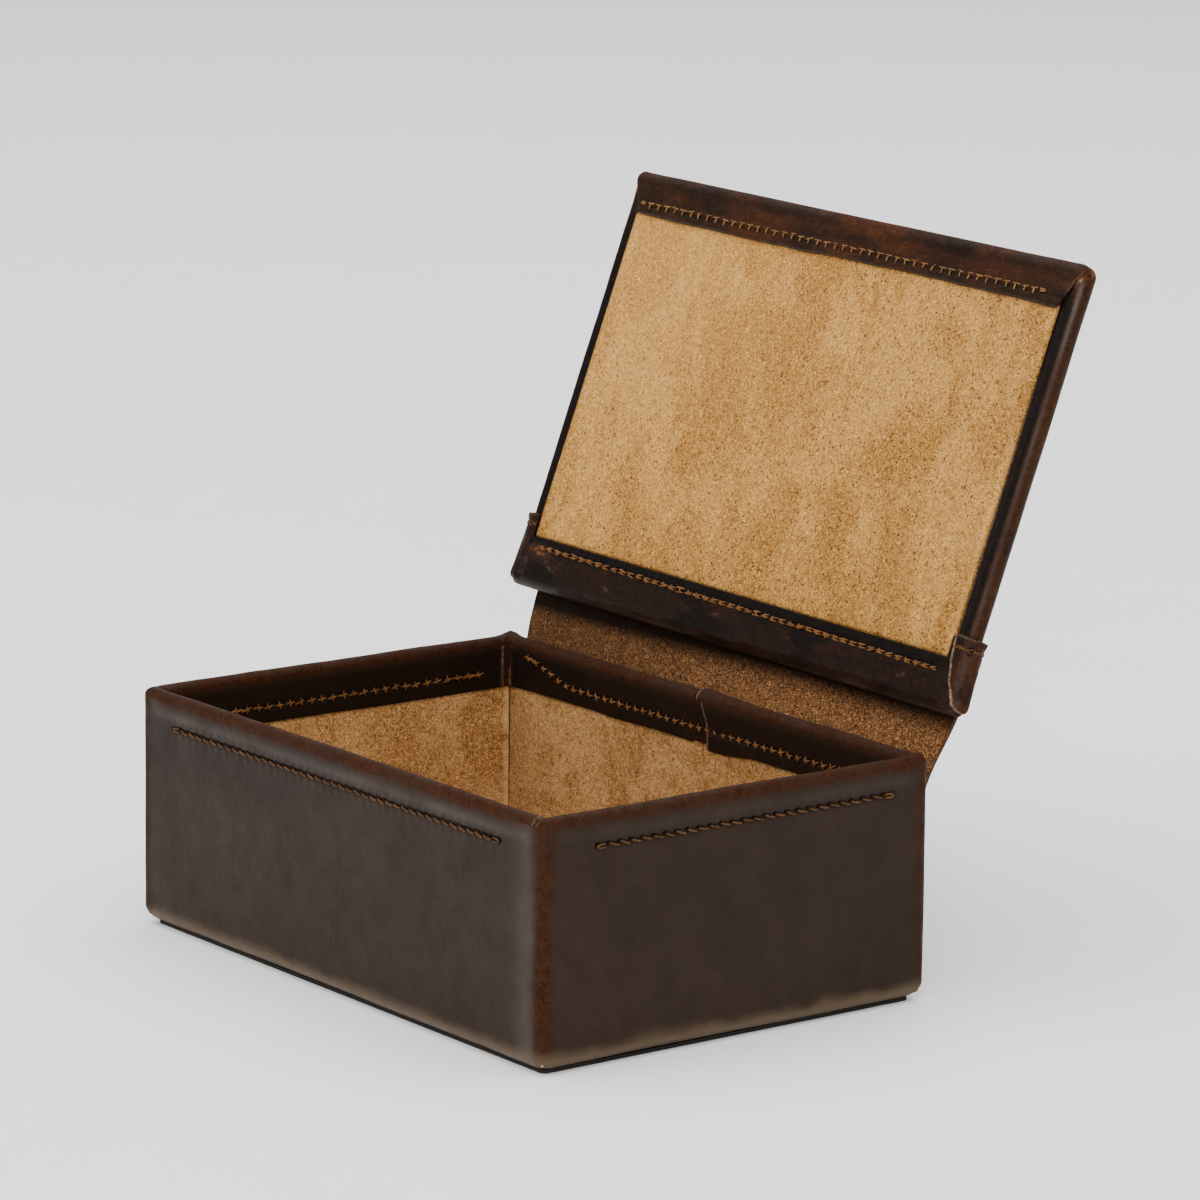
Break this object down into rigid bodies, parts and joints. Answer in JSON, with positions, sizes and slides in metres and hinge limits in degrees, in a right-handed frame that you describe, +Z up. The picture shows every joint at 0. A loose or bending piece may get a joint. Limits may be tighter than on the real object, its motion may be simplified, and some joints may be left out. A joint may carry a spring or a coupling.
{
  "type": "leather storage box with lift lid",
  "caption": "Leather-covered storage box, open inside and lined with suede, with a padded lift lid that hangs on a sewn leather strap.",
  "frame": {"origin": "middle of the box's footprint, on its resting face", "axes": "+X to the right along the front wall, +Y towards the back wall and hinge, +Z up"},
  "size_m": [0.2236, 0.2165, 0.2357],
  "materials": {
    "dark_leather": "dark brown oiled pull-up leather, waxed, rubbed reddish at the edges",
    "strap_leather": "brown leather, napped flesh side towards the box, smooth dark grain side behind",
    "suede": "coarse tan suede lining",
    "lid_suede": "light tan pigskin suede with fine pores",
    "base_sheet": "matt black leather sheet",
    "board": "grey-brown stiff board",
    "thread": "waxed golden brown thread"
  },
  "bodies": {
    "box": {"wall_cover": "dark_leather", "base_cover": "base_sheet", "base_board": "board", "base_lining": "suede", "front_board": "board", "right_board": "board", "back_board": "board", "left_board": "board", "front_lining": "suede", "right_lining": "suede", "back_lining": "suede", "left_lining": "suede", "front_stitches": "thread", "right_stitches": "thread", "back_stitches": "thread", "left_stitches": "thread", "hinge_strap": "strap_leather", "strap_box_stitches": "thread"},
    "lid": {"lid_cover": "dark_leather", "lid_board": "board", "lid_lining": "lid_suede", "lid_rear_binding": "dark_leather", "lid_front_stitches": "thread", "lid_rear_stitches": "thread", "lid_side_stitches": "thread", "strap_lid_stitches": "thread"}
  },
  "joints": [
    {"name": "lid_hinge", "type": "hinge", "parent": "box", "child": "lid", "pos_m": [0, 0.081, 0.08715], "axis": [-0.9995, -0.0115, 0.0295], "range_deg": [-110.7, 69.3], "deforming": ["hinge_strap"]}
  ]
}
